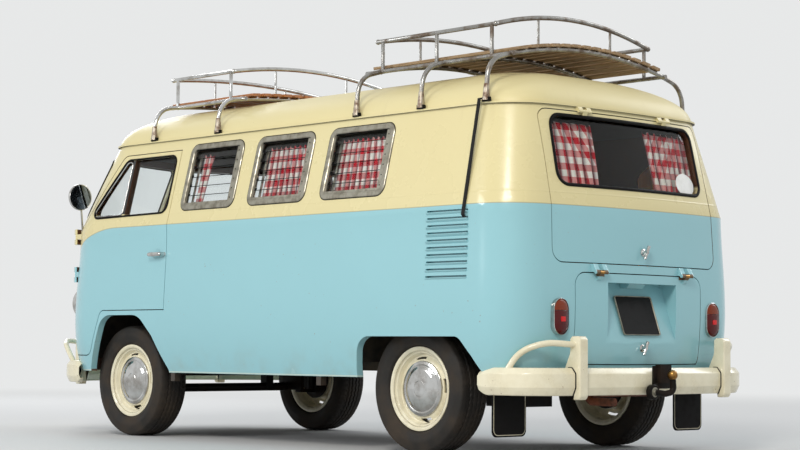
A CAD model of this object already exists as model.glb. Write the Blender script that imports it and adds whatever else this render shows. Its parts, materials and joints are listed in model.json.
import json
from functools import partialmethod
from math import cos, pi, radians, sin

import bmesh
import bpy
import numpy as np
from bpy.props import FloatProperty, FloatVectorProperty, IntProperty, PointerProperty
from mathutils import Matrix, Vector

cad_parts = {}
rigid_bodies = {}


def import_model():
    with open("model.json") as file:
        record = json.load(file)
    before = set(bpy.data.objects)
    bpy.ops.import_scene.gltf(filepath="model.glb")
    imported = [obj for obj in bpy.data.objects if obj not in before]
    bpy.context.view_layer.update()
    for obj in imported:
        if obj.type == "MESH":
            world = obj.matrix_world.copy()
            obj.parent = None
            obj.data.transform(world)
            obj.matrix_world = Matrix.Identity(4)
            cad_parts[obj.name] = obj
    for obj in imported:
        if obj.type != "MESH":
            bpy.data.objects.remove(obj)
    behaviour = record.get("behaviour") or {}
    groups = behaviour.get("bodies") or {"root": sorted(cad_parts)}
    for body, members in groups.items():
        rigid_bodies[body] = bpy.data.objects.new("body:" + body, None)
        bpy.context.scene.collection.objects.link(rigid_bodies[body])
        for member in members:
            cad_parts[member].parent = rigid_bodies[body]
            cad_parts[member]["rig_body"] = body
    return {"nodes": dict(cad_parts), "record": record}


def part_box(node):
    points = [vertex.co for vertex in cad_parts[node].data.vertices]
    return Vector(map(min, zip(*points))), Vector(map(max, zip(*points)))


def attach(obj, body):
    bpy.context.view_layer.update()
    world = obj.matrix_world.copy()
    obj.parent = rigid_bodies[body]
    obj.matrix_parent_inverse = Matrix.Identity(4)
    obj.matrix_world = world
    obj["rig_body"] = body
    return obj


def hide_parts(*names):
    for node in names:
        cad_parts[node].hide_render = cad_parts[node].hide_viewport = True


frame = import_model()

bl_info = {
    "name": "Camper van",
    "version": (1, 0, 0),
    "blender": (4, 5, 0),
    "location": "3D View > Sidebar > Van",
    "description": "Finishes and trim of a split-screen camper van, built round its solid parts",
    "category": "Object",
}

# Metres throughout. The nose points to -Y and the left side is +X.
# Rows of the skin: height, half width, nose y, tail y, roundness of the nose
SKIN_ROWS = [
    (0.370, 0.838, -2.045, 1.955, 1.0),
    (0.480, 0.860, -2.075, 1.976, 1.0),
    (0.860, 0.866, -2.085, 1.992, 1.0),
    (1.200, 0.858, -2.060, 1.975, 0.9),
    (1.690, 0.738, -1.775, 1.865, 0.35),
]
# Radii of the plan: shares of the half width at the nose, and metres at the tail
NOSE_ARC = 1.23
CORNER = 0.42
TAIL_ARC = 4.5
TAIL_CORNER = 0.25
# Outlines on the skin: y of the side windows, x and z at the ends, and y and z at the sides
SIDE_WINDOWS = [(-0.650, -0.194), (-0.060, 0.399), (0.536, 1.009)]
SIDE_WINDOW_LOW = 1.282
SIDE_WINDOW_HIGH = 1.640
SIDE_WINDOW_CORNER = 0.045
REAR_WINDOW = [(-0.540, 1.300), (0.540, 1.300), (0.530, 1.642), (-0.530, 1.642)]
CAB_WINDOW = [(-0.785, 1.270), (-0.785, 1.600), (-1.265, 1.600), (-1.540, 1.262)]
CAB_WINDOW_RADII = [0.050, 0.050, 0.060, 0.040]
WINDSCREEN = [(0.030, 1.262), (0.765, 1.262), (0.728, 1.620), (0.030, 1.620)]
WINDSCREEN_RADII = [0.030, 0.060, 0.060, 0.030]
VENT_BAR_Y = -1.200
SIDE_PLACES = [("body", 1, SIDE_WINDOWS), ("body", -1, SIDE_WINDOWS[2:]),
               ("cargo_door_front", -1, SIDE_WINDOWS[:1]), ("cargo_door_rear", -1, SIDE_WINDOWS[1:2])]
BLADES = 6
# Bumpers, the upright guards as way out and height, and the tubes over the bumpers as x, y and z
BUMPER_HALF = 0.852
FRONT_BUMPER_Y = -2.195
REAR_BUMPER_Y = 2.095
FRONT_BLADE_Y = -2.043
REAR_BLADE_Y = 2.062
OVERRIDER_X = 0.543
OVERRIDER_HALF = 0.0285
OVERRIDER = [(-0.022, 0.281), (0.012, 0.281), (0.024, 0.296), (0.024, 0.562), (0.010, 0.578), (-0.030, 0.578),
             (-0.043, 0.566), (-0.043, 0.500), (-0.074, 0.432), (-0.074, 0.416), (-0.022, 0.416)]
OVERRIDER_RADII = [0.004, 0.010, 0.010, 0.010, 0.010, 0.008, 0.010, 0.030, 0.010, 0, 0]
FRONT_GUARD = [(0.560, -2.030, 0.538), (0.690, -1.985, 0.548), (0.785, -1.850, 0.520), (0.800, -1.740, 0.418)]
REAR_GUARD = [(0.560, 2.046, 0.538), (0.700, 1.985, 0.548), (0.785, 1.895, 0.505), (0.815, 1.850, 0.418)]
RACK_FEET = [-1.032, -0.438, 0.714, 1.190, 1.641]
LID_HINGE_X = 0.324
DOOR_HANDLE_Z = 1.033
CORNERS = ("front_left", "front_right", "rear_left", "rear_right")
SIDES = ((1, "left"), (-1, "right"))
TAIL_LAMP = (0.574, 0.670)
HEADLAMP = (0.560, 0.775)
INDICATOR = (0.600, 1.010)
HANDLES = [("tailgate_handle", 1.986, 0.991, "tailgate"), ("lid_handle", 1.979, 0.524, "engine_lid")]


def shade_of(red, green, blue):
    """Linear colour of an sRGB one given in 0 to 255."""
    share = np.array((red, green, blue)) / 255
    return tuple(np.where(share <= 0.04045, share / 12.92, ((share + 0.055) / 1.055) ** 2.4))


class PaintSettings(bpy.types.PropertyGroup):
    """Paint of the body."""

    lower: FloatVectorProperty(name="Lower colour", description="Paint below the belt", subtype="COLOR",
                               size=3, min=0, max=1, default=shade_of(150, 200, 207))
    upper: FloatVectorProperty(name="Upper colour", description="Paint above the belt", subtype="COLOR",
                               size=3, min=0, max=1, default=shade_of(222, 210, 160))
    edge: FloatProperty(name="Colour edge", description="Height at which the two paints meet",
                        unit="LENGTH", default=1.2)
    peak: FloatProperty(name="Nose point", description="Lowest point of the upper paint on the nose",
                        unit="LENGTH", default=0.46)
    crease: FloatProperty(name="Crease height", description="Height of the pressed line over the colour edge",
                          unit="LENGTH", default=1.262)


class WheelSettings(bpy.types.PropertyGroup):
    """Tyres and wheels."""

    grooves: IntProperty(name="Zigzags", description="Zigzags of a groove round the tyre", default=60, min=12)
    depth: FloatProperty(name="Tread depth", description="Depth of the grooves", unit="LENGTH", default=0.007)
    steps: IntProperty(name="Steps", description="Divisions round a tyre", default=300, min=48)
    cap: FloatProperty(name="Hubcap radius", description="Radius of the domed cap", unit="LENGTH",
                       default=0.137)
    slots: IntProperty(name="Rim slots", description="Slots round the rim disc", default=4, min=1)


class TrimSettings(bpy.types.PropertyGroup):
    """Seals, lamps and bright parts."""

    seal: FloatProperty(name="Seal width", description="Width of the rubber round a window", unit="LENGTH",
                        default=0.014)
    bar: FloatProperty(name="Bumper tube", description="Radius of the tubes over the bumpers", unit="LENGTH",
                       default=0.015)
    plate_width: FloatProperty(name="Plate width", description="Width of the blank plate", unit="LENGTH",
                               default=0.279)
    plate_height: FloatProperty(name="Plate height", description="Height of the blank plate", unit="LENGTH",
                                default=0.203)


class ClothSettings(bpy.types.PropertyGroup):
    """Curtains and seats."""

    check: FloatProperty(name="Check", description="Width of one check of the curtain cloth", unit="LENGTH",
                         default=0.033)
    fold: FloatProperty(name="Fold depth", description="Half the depth of a curtain fold", unit="LENGTH",
                        default=0.0125)
    red: FloatVectorProperty(name="Check colour", description="Colour of the checks", subtype="COLOR", size=3,
                             min=0, max=1, default=shade_of(206, 8, 34))
    vinyl: FloatVectorProperty(name="Seat colour", description="Colour of the seat covers", subtype="COLOR",
                               size=3, min=0, max=1, default=shade_of(150, 146, 130))


class StageSettings(bpy.types.PropertyGroup):
    """Camera, lamps and floor."""

    place: FloatVectorProperty(name="Camera place", description="Where the camera stands", subtype="XYZ",
                               size=3, default=(7.424, 8.140, 0.520))
    yaw: FloatProperty(name="Yaw", description="Turn of the camera from +Y", subtype="ANGLE",
                       default=radians(136.744))
    pitch: FloatProperty(name="Pitch", description="Upward tilt of the camera", subtype="ANGLE",
                         default=radians(3.578))
    roll: FloatProperty(name="Roll", description="Roll of the camera", subtype="ANGLE",
                        default=radians(0.416))
    lens: FloatProperty(name="Lens", description="Focal length for a 36 mm wide picture, in millimetres",
                        default=88.03)
    sky: FloatProperty(name="Sky", description="Strength of the even light from all round", default=0.58)
    key: FloatProperty(name="Key light", description="Power of the large lamp", subtype="POWER",
                       default=540.0)
    floor: FloatVectorProperty(name="Floor colour", description="Colour of the floor", subtype="COLOR",
                               size=3, min=0, max=1, default=(0.62, 0.62, 0.61))


def unit(vectors):
    """Vectors scaled to length one."""
    return vectors / np.maximum(np.linalg.norm(vectors, axis=-1, keepdims=True), 1e-12)


def arc(start, middle, end, steps):
    """Points of the circle through three points: the centre is where the chords' bisectors meet."""
    a, b, c = (np.asarray(p, float) for p in (start, middle, end))
    turn = np.array([b - a, c - a]) * 2
    centre = np.linalg.solve(turn, [b @ b - a @ a, c @ c - a @ a])
    angles = np.arctan2(*(np.array([a, b, c]) - centre).T[::-1])
    sweep_to = (angles[2] - angles[0] + pi) % (2 * pi) - pi
    angle = angles[0] + np.linspace(0, 1, steps) * sweep_to
    return centre + np.linalg.norm(a - centre) * np.stack([np.cos(angle), np.sin(angle)], -1)


def half_plan(half, nose, tail, roundness, end, steps=48):
    """Half of the plan at one level from the middle of an end to the flat side: the end's arc, the corner's
    arc that touches both, and the flat side as far as the middle of the van."""
    if end < 0:
        tip, radius, corner = nose, NOSE_ARC * half, CORNER * half
    else:
        tip, radius, corner = tail, TAIL_ARC, min(TAIL_CORNER, 0.6 * half)
    centre = tip - end * radius
    cx = half - corner
    cy = centre + end * np.sqrt((radius - corner) ** 2 - cx**2)
    meet = np.array([cx, cy - centre]) / (radius - corner)
    touch = meet * radius + (0, centre)
    middle = unit(meet + (0, end)) * radius + (0, centre)
    if end < 0:
        chord = (touch + (0, tip)) / 2
        middle = chord + roundness * (middle - chord)
    bend = unit(meet + (1, 0)) * corner + (cx, cy)
    first = arc((0, tip), middle, touch, steps)
    second = arc(touch, bend, (half, cy), steps)
    return np.concatenate([first, second[1:], [(half, 0.0)]])


NOSE_CURVES = np.array([half_plan(*row[1:], -1) for row in SKIN_ROWS])
TAIL_CURVES = np.array([half_plan(*row[1:], 1) for row in SKIN_ROWS])


def on_curve(curves, given, value, z):
    """The other plan coordinate of the skin where the given one has a value: the two rows of the skin next
    to z are mixed, and the mixed curve is read between its points."""
    levels = np.array([row[0] for row in SKIN_ROWS])
    z = np.clip(z, levels[0], levels[-1])
    low = np.clip(np.searchsorted(levels, z, side="right") - 1, 0, len(levels) - 2)
    share = ((z - levels[low]) / (levels[low + 1] - levels[low]))[:, None, None]
    mixed = curves[low] * (1 - share) + curves[low + 1] * share
    column, other = mixed[:, :, given], mixed[:, :, 1 - given]
    past = np.sign(column[:, -1:] - column[:, :1]) * (column - value[:, None]) >= 0
    after = np.clip(np.argmax(past, axis=1), 1, column.shape[1] - 1)
    row = np.arange(len(after))
    a, b = column[row, after - 1], column[row, after]
    part = np.clip((value - a) / np.where(abs(b - a) < 1e-9, 1, b - a), 0, 1)
    return other[row, after - 1] * (1 - part) + other[row, after] * part


def slopes(surface, a, b, step=0.002):
    """Value of a surface and its two slopes: (f(a + step) - f(a - step)) / (2 * step) in each direction."""
    along = (surface(a + step, b) - surface(a - step, b)) / (2 * step)
    up = (surface(a, b + step) - surface(a, b - step)) / (2 * step)
    return surface(a, b), along, up


def end_skin(outline, end):
    """Points and outward directions of the skin at x and z of an outline, on the nose (-1) or tail (1)."""
    curves = NOSE_CURVES if end < 0 else TAIL_CURVES
    x, z = outline.T
    y, along, up = slopes(lambda a, b: on_curve(curves, 0, abs(a), b), x, z)
    out = unit(np.stack([-along, np.ones_like(x), -up], -1) * end)
    return np.stack([x, y, z], -1), out


def side_skin(outline, side):
    """Points and outward directions of the skin at y and z of an outline, on the left (1) or right (-1)."""
    y, z = outline.T
    x, along, up = slopes(lambda a, b: on_curve(NOSE_CURVES, 1, np.minimum(a, 0.0), b), y, z)
    out = unit(np.stack([np.ones_like(x), -along, -up], -1) * (side, 1, 1))
    return np.stack([side * x, y, z], -1), out


def looped(path):
    """Path that ends where it starts."""
    return np.concatenate([path, path[:1]])


def rounded(points, radii, closed=True, steps=8):
    """Polyline with its corners turned to arcs: each arc's centre lies on the corner's bisector at radius
    divided by the sine of half the corner, and its points turn evenly from one leg to the other."""
    points = np.asarray(points, float)
    count = len(points)
    radii = np.broadcast_to(radii, count)
    runs = []
    for i, (corner, radius) in enumerate(zip(points, radii)):
        if radius <= 0 or (not closed and i in (0, count - 1)):
            runs.append(corner[None])
            continue
        back, on = unit(points[i - 1] - corner), unit(points[(i + 1) % count] - corner)
        half = np.arccos(np.clip(back @ on, -1, 1)) / 2
        centre = corner + unit(back + on) * radius / np.sin(half)
        start = corner + back * radius / np.tan(half) - centre
        end = corner + on * radius / np.tan(half) - centre
        turn = pi - 2 * half
        t = np.linspace(0, 1, steps)[:, None]
        runs.append(centre + (np.sin((1 - t) * turn) * start + np.sin(t * turn) * end) / np.sin(turn))
    return np.concatenate(runs)


def evenly(path, count, closed=False):
    """Path read again at even distances along it."""
    path = looped(path) if closed else path
    run = np.concatenate([[0], np.cumsum(np.linalg.norm(np.diff(path, axis=0), axis=1))])
    at = np.linspace(0, run[-1], count, endpoint=not closed)
    return np.stack([np.interp(at, run, path[:, k]) for k in range(path.shape[1])], -1)


def ring(radius, steps=16, flat=1.0):
    """Closed circle, or an ellipse flattened in its second direction."""
    angle = np.linspace(0, 2 * pi, steps + 1)
    return np.stack([radius * np.cos(angle), radius * flat * np.sin(angle)], -1)


def sweep(path, profile, up, closed=False, scale=None):
    """Profile carried along a path: point = path + a * side + b * lift, where side is square to the path
    and to up, and lift is square to both."""
    path = np.asarray(path, float)
    ahead = np.roll(path, -1, 0) - np.roll(path, 1, 0) if closed else np.gradient(path, axis=0)
    ahead = unit(ahead)
    side = unit(np.cross(ahead, up))
    lift = np.cross(side, ahead)
    grow = np.ones(len(path)) if scale is None else scale
    part = profile[None] * grow[:, None, None]
    rings = path[:, None] + part[..., :1] * side[:, None] + part[..., 1:] * lift[:, None]
    return looped(rings) if closed else rings


def turned(profile, centre, axis, start, steps=64):
    """Surface of revolution: centre + along * axis + radius * (cos * start + sin * (axis x start))."""
    axis, start = (np.asarray(v, float) for v in (axis, start))
    angle = np.linspace(0, 2 * pi, steps + 1)[:, None, None]
    spoke = np.cos(angle) * start + np.sin(angle) * np.cross(axis, start)
    return np.asarray(centre, float) + profile[None, :, :1] * axis + profile[None, :, 1:] * spoke


class Shape:
    """Grids of points gathered into one mesh: point (i, j) is joined to the next in each direction."""

    def __init__(self):
        self.points, self.faces, self.flat, self.count = [], [], [], 0

    def grid(self, xyz, ends=False, uv=None, skip=None):
        """Adds a grid, with its first and last rows closed where ends is set, less the faces in skip."""
        rows, columns = xyz.shape[:2]
        index = np.arange(rows * columns).reshape(rows, columns) + self.count
        quads = np.stack([index[:-1, :-1], index[1:, :-1], index[1:, 1:], index[:-1, 1:]], -1)
        self.faces += (quads.reshape(-1, 4) if skip is None else quads[~skip]).tolist()
        if ends:
            self.faces += [index[0, :-1][::-1].tolist(), index[-1, :-1].tolist()]
        self.points.append(xyz.reshape(-1, 3))
        self.flat.append(np.zeros((rows * columns, 2)) if uv is None else uv.reshape(-1, 2))
        self.count += rows * columns
        return self

    def build(self, name, body, slot, angle=40.0, stands_for=(), outward=True, look=None):
        """Makes the object: doubles are merged, faces turned outwards and the piece set on its body."""
        mesh = bpy.data.meshes.new(name)
        mesh.from_pydata(np.concatenate(self.points), [], self.faces)
        flatten(mesh, "flat", np.concatenate(self.flat))
        merge(mesh, outward)
        return place(name, mesh, body, slot, angle, stands_for, look)


def read(items, field, width, kind=np.int32):
    """Values of one field of a mesh's items as an array with that many numbers to an item."""
    values = np.empty(width * len(items), kind)
    items.foreach_get(field, values)
    return values


def flatten(mesh, name, values):
    """Flat coordinates of a mesh, given for its points."""
    at_corners = values[read(mesh.loops, "vertex_index", 1)]
    layer = mesh.uv_layers.new(name=name)
    layer.data.foreach_set("uv", at_corners.astype(np.float32).ravel())


def lathe(name, profile, centre, axis, start, steps, body, slot, **how):
    """Piece that is one surface of revolution."""
    return Shape().grid(turned(profile, centre, axis, start, steps)).build(name, body, slot, **how)


def merge(mesh, outward):
    """Merges points that lie together, and turns the faces of a closed shape outwards."""
    work = bmesh.new()
    work.from_mesh(mesh)
    bmesh.ops.remove_doubles(work, verts=work.verts, dist=1e-5)
    if outward:
        bmesh.ops.recalc_face_normals(work, faces=work.faces)
    work.to_mesh(mesh)
    work.free()


def place(name, mesh, body, slot, angle=40.0, stands_for=(), look=None):
    """Object of a finished mesh, smooth except at edges sharper than angle, riding on a body. Its finish is
    the one of its slot unless another look is named."""
    mesh.materials.clear()
    mesh.materials.append(finish(look or slot))
    mesh.shade_smooth()
    mesh.set_sharp_from_angle(angle=radians(angle))
    piece = bpy.data.objects.new(name, mesh)
    bpy.context.scene.collection.objects.link(piece)
    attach(piece, body)
    if stands_for:
        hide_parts(*stands_for)
    return piece


def thicken(piece, thickness):
    """Gives an open sheet its wall, half on each side."""
    wall = piece.modifiers.new("wall", "SOLIDIFY")
    wall.thickness = thickness
    wall.offset = 0.0
    return piece


def soften(piece, width):
    """Rounds the edges of a piece."""
    edge = piece.modifiers.new("edge", "BEVEL")
    edge.width = width
    edge.segments = 2
    edge.limit_method = "ANGLE"
    edge.angle_limit = radians(30.0)
    edge.harden_normals = False
    return piece


SLOT_OF = {part["node"]: part["material_slot"] for part in frame["record"]["subparts"]}


def dress(node, angle=32.0, look=None):
    """Smooth copy of a solid, with its doubles merged, which stands for it."""
    source = frame["nodes"][node]
    mesh = source.data.copy()
    for name in ("custom_normal", "sharp_face", "sharp_edge"):
        if mesh.attributes.get(name):
            mesh.attributes.remove(mesh.attributes[name])
    merge(mesh, False)
    return place(node + ".dressed", mesh, source["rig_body"], SLOT_OF[node], angle, (node,), look)


class Socket:
    """Output of a shader node. Python arithmetic on it adds Math nodes."""

    def __init__(self, nodes, out):
        self.nodes, self.out = nodes, out

    def math(self, operation, *others):
        made = self.nodes.tree.nodes.new("ShaderNodeMath")
        made.operation = operation
        for port, value in zip(made.inputs, (self, *others)):
            self.nodes.feed(port, value)
        return Socket(self.nodes, made.outputs[0])

    __add__ = partialmethod(math, "ADD")
    __sub__ = partialmethod(math, "SUBTRACT")
    __mul__ = partialmethod(math, "MULTIPLY")
    __truediv__ = partialmethod(math, "DIVIDE")
    __pow__ = partialmethod(math, "POWER")
    __gt__ = partialmethod(math, "GREATER_THAN")
    __lt__ = partialmethod(math, "LESS_THAN")
    __abs__ = partialmethod(math, "ABSOLUTE")
    largest = partialmethod(math, "MAXIMUM")
    smallest = partialmethod(math, "MINIMUM")
    sine = partialmethod(math, "SINE")

    def ramp(self, low, high, to_low=0.0, to_high=1.0):
        """Smooth step from one value to another."""
        return self.nodes.node("ShaderNodeMapRange", {"interpolation_type": "SMOOTHSTEP"},
                               {0: self, 1: low, 2: high, 3: to_low, 4: to_high})

    def within(self, middle, half):
        """1 less than half away from the middle, and 0 elsewhere."""
        return abs(self - middle) < half

    def line(self, middle, inner, outer):
        """1 as far as inner from the middle, fading to 0 at outer."""
        return abs(self - middle).ramp(inner, outer, 1.0, 0.0)


class Nodes:
    """Shader nodes of a material or of the sky."""

    def __init__(self, tree):
        self.tree = tree

    def feed(self, port, value):
        if isinstance(value, Socket):
            self.tree.links.new(value.out, port)
        elif port.type == "RGBA":
            port.default_value = (*value, 1.0)
        else:
            port.default_value = value

    def node(self, kind, settings=None, inputs=None, outputs=0):
        """Adds a node: its settings first, then the values or links of its sockets."""
        made = self.tree.nodes.new(kind)
        for key, value in (settings or {}).items():
            setattr(made, key, value)
        for key, value in (inputs or {}).items():
            self.feed(made.inputs[key], value)
        return Socket(self, made.outputs[outputs])

    def mix(self, share, low, high):
        """Colour between two, by a share from 0 to 1."""
        return self.node("ShaderNodeMix", {"data_type": "RGBA"}, {0: share, 6: low, 7: high}, 2)

    def seen(self):
        """1 for rays that meet the eye straight, in a mirror or through glass."""
        rays = self.tree.nodes.new("ShaderNodeLightPath").outputs
        straight, glossy, through = (Socket(self, rays["Is %s Ray" % kind])
                                     for kind in ("Camera", "Glossy", "Transmission"))
        return straight.largest(glossy).largest(through)

    def put_out(self, kind, surface):
        """Links a shader to the output node."""
        self.feed(self.tree.nodes[kind].inputs["Surface"], surface)


class Finish(Nodes):
    """Material with the values that are the same all over set on its shader."""

    def __init__(self, name, colour=(0.5, 0.5, 0.5), rough=0.5, metal=0.0, **constants):
        self.material = bpy.data.materials.new(name)
        self.material.use_nodes = True
        super().__init__(self.material.node_tree)
        self.shader = self.tree.nodes["Principled BSDF"]
        self.set(Base_Color=colour, Roughness=rough, Metallic=metal, **constants)
        self.where = self.node("ShaderNodeTexCoord", outputs="Object")
        self.x, self.y, self.z = self.split(self.where)

    def set(self, **values):
        """Sets or links sockets of the main shader; underscores in a name stand for spaces."""
        for key, value in values.items():
            self.feed(self.shader.inputs[key.replace("_", " ")], value)
        return self

    def split(self, vector):
        made = self.tree.nodes.new("ShaderNodeSeparateXYZ")
        self.feed(made.inputs[0], vector)
        return [Socket(self, out) for out in made.outputs]

    def noise(self, scale, detail=3.0, rough=0.55, stretch=None):
        """Noise on the piece's own coordinates; stretch squeezes it along the axes."""
        vector = self.where
        if stretch:
            vector = self.node("ShaderNodeMapping", None, {"Vector": vector, "Scale": stretch})
        return self.node("ShaderNodeTexNoise", None,
                         {"Vector": vector, "Scale": scale, "Detail": detail, "Roughness": rough})

    def bump(self, height, strength=0.3, distance=0.001):
        return self.set(Normal=self.node("ShaderNodeBump", None, {"Strength": strength, "Distance": distance,
                                                                  "Height": height}))


def belt_edge(coat, paint):
    """Height where the paints meet: the belt, less 0.6 times the square of the way ahead of y -1.25, and on
    the nose the V peak + (|x| / 0.82) ** 1.35 * (belt - peak)."""
    vee = (abs(coat.x) / 0.82) ** 1.35 * (paint.edge - paint.peak) + paint.peak
    on_nose = coat.y < -1.72
    ahead = (coat.y * -1.0 - 1.25).largest(0.0)
    edge = (vee - paint.edge).smallest(0.0) * on_nose + paint.edge
    return edge.smallest(ahead * ahead * -0.6 + paint.edge)


def inside_share(coat):
    """1 where the surface looks into the van: its normal is set against the way from the middle, with each
    coordinate divided by about half the van's size along it."""
    nx, ny, nz = coat.split(coat.node("ShaderNodeTexCoord", outputs="Normal"))
    outward = coat.x * nx * 1.16 + coat.y * ny * 0.48 + (coat.z - 1.1) * nz * 1.1
    return outward.ramp(-0.62, -0.50, 1.0, 0.0)


def body_finish(name):
    """Two paints that meet at the belt and in a point on the nose, with rust, dust and a pressed line."""
    paint = bpy.context.scene.van_paint
    coat = Finish(name, Coat_Weight=0.35, Coat_Roughness=0.06, IOR=1.45)
    x, y, z = coat.x, coat.y, coat.z
    on_side = abs(x) > 0.80
    inside, edge = inside_share(coat), belt_edge(coat, paint)
    wander = coat.noise(3.0, 2.0) * 0.004 - 0.002
    above = (z - edge + wander).ramp(-0.0012, 0.0012)
    seam = (z - edge).line(0.001, 0.0, 0.0035)
    cloud = coat.noise(1.7, 4.0)
    lower = coat.mix(cloud, paint.lower, [c * 0.93 for c in paint.lower])
    upper = coat.mix(cloud, paint.upper, [c * f for c, f in zip(paint.upper, (0.97, 0.95, 0.90))])
    dirt = z.ramp(0.36, 0.58, 0.22, 0.0) * coat.noise(7.0, 6.0).ramp(0.40, 0.75)
    lip = z.line(0.3745, 0.0020, 0.0050) * on_side
    under = z < 0.3690
    speck = coat.noise(60.0, 2.0).ramp(0.72, 0.76) * coat.noise(4.0, 3.0).ramp(0.54, 0.70)
    streak = coat.noise(14.0, 4.0, stretch=(1.0, 1.0, 0.08)).ramp(0.60, 0.80) * z.ramp(1.15, 1.72)
    vent_bar = y.within(VENT_BAR_Y, 0.020) * z.within(1.436, 0.158) * (abs(x) > 0.55)
    grain = coat.noise(3.0, 5.0, 0.6, (12.0, 12.0, 1.0))
    panel = coat.mix(grain, shade_of(104, 66, 38), shade_of(74, 46, 28))
    trim = coat.mix(z > 1.66, panel, shade_of(92, 88, 80))
    hinge = abs(x).within(LID_HINGE_X, 0.042) * (y > 1.98) * z.within(0.905, 0.040)
    colour = coat.mix(above, lower, upper)
    for share, tone in ((seam * 0.55, shade_of(120, 100, 70)), (dirt, shade_of(150, 138, 112)),
                        (lip * 0.6, shade_of(216, 222, 204)), (under, shade_of(54, 44, 34)),
                        (speck, shade_of(126, 62, 28)), (streak * 0.12, shade_of(178, 160, 120)),
                        (vent_bar, shade_of(26, 25, 24)), (inside, trim),
                        (hinge * (z < 0.896), shade_of(104, 84, 60))):
        colour = coat.mix(share, colour, tone)
    roof = z.ramp(1.60, 1.76)
    rough = coat.noise(6.0, 5.0).ramp(0.3, 0.8, 0.17, 0.24) + speck * 0.4 + dirt * 0.35
    rough = rough + (inside + under) * 0.4 + above * 0.08 + roof * 0.16 + hinge * 0.4
    from_y, from_z = y + 0.832, z - DOOR_HANDLE_Z
    dish = (from_y * from_y + from_z * from_z).math("SQRT").ramp(0.016, 0.034, 1.0, 0.0) * on_side
    relief = z.line(paint.crease, 0.0, 0.006) * 1.3 + coat.noise(2.4, 1.0) * 0.9 - speck * 0.2 - dish * 5.0
    clear = above * -0.20 + roof * -0.15 - hinge * 0.35 + 0.35
    return coat.set(Base_Color=colour, Roughness=rough, Coat_Weight=clear).bump(relief, 0.35, 0.002)


# Plain finishes: colour, second colour, patch size, roughness low and high, metallic, grain size,
# grain depth, coat
PLAIN = {
    "cream_paint": ((236, 228, 200), (222, 212, 180), 9.0, 0.20, 0.36, 0.0, 60.0, 0.03, 0.3),
    "chrome": ((206, 206, 204), (160, 156, 150), 14.0, 0.06, 0.22, 1.0, 180.0, 0.03, 0.0),
    "aluminium": ((158, 154, 140), (116, 110, 96), 22.0, 0.30, 0.50, 0.75, 240.0, 0.06, 0.0),
    "black_rubber": ((12, 11, 11), (24, 22, 21), 30.0, 0.50, 0.75, 0.0, 300.0, 0.10, 0.0),
    "black_steel": ((18, 17, 16), (44, 34, 27), 12.0, 0.35, 0.70, 0.0, 90.0, 0.25, 0.0),
    "rusty_steel": ((118, 62, 34), (64, 40, 28), 26.0, 0.70, 0.95, 0.0, 120.0, 0.60, 0.0),
    "grey_steel": ((156, 155, 151), (104, 88, 74), 16.0, 0.26, 0.55, 0.85, 160.0, 0.12, 0.0),
    "foot_steel": ((176, 166, 150), (98, 62, 40), 40.0, 0.35, 0.65, 0.6, 160.0, 0.15, 0.0),
    "engine_metal": ((120, 120, 116), (70, 62, 54), 14.0, 0.50, 0.80, 0.4, 70.0, 0.50, 0.0),
    "floor_paint": ((52, 50, 46), (84, 76, 64), 10.0, 0.55, 0.85, 0.0, 80.0, 0.30, 0.0),
    "black_plastic": ((8, 8, 8), (18, 18, 17), 18.0, 0.35, 0.55, 0.0, 220.0, 0.06, 0.0),
    "brass": ((170, 128, 70), (110, 78, 44), 40.0, 0.25, 0.50, 1.0, 200.0, 0.10, 0.0),
    "bone_plastic": ((206, 198, 172), (188, 178, 150), 16.0, 0.30, 0.45, 0.0, 160.0, 0.04, 0.0),
    "white_plastic": ((236, 236, 232), (222, 222, 216), 20.0, 0.30, 0.40, 0.0, 200.0, 0.03, 0.0),
    "mirror": ((226, 230, 232), (210, 214, 216), 4.0, 0.02, 0.04, 1.0, 20.0, 0.0, 0.0),
    "mirror_glass": ((96, 104, 110), (70, 76, 82), 4.0, 0.02, 0.05, 1.0, 20.0, 0.0, 0.0),
}


def plain_finish(name):
    """Worn finish: two colours in soft patches, roughness in finer ones, and a fine grain."""
    first, second, patch, low, high, metal, grain, depth, coat = PLAIN[name]
    skin = Finish(name, metal=metal, Coat_Weight=coat, Coat_Roughness=0.1,
                  Specular_IOR_Level=0.5 if max(first) > 60 else 0.1)
    cloud = skin.noise(patch, 5.0).ramp(0.35, 0.75)
    fine = skin.noise(grain, 3.0)
    skin.set(Base_Color=skin.mix(cloud, shade_of(*first), shade_of(*second)),
             Roughness=(cloud * 0.6 + fine * 0.4).ramp(0.2, 0.8, low, high))
    return skin.bump(fine, depth, 0.001) if depth else skin


def cream_finish(name):
    """Painted steel with rust that breaks through in small spots, and road dirt low down."""
    coat = plain_finish(name)
    colour = Socket(coat, coat.shader.inputs["Base Color"].links[0].from_socket)
    spot = coat.noise(70.0, 3.0).ramp(0.68, 0.73) * coat.noise(8.0, 3.0).ramp(0.45, 0.62)
    dirt = coat.z.ramp(0.20, 0.42, 0.25, 0.0) * coat.noise(16.0, 5.0).ramp(0.45, 0.70)
    colour = coat.mix(dirt, colour, shade_of(140, 122, 92))
    return coat.set(Base_Color=coat.mix(spot, colour, shade_of(120, 60, 30)))


def tyre_finish(name):
    """Dusty brown-black rubber."""
    rubber = Finish(name, Specular_IOR_Level=0.3)
    dust = rubber.noise(7.0, 6.0).ramp(0.35, 0.75)
    fine = rubber.noise(150.0, 2.0)
    return rubber.set(Base_Color=rubber.mix(dust, shade_of(34, 31, 28), shade_of(64, 55, 46)),
                      Roughness=dust.ramp(0.0, 1.0, 0.62, 0.88)).bump(fine, 0.3, 0.001)


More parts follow.
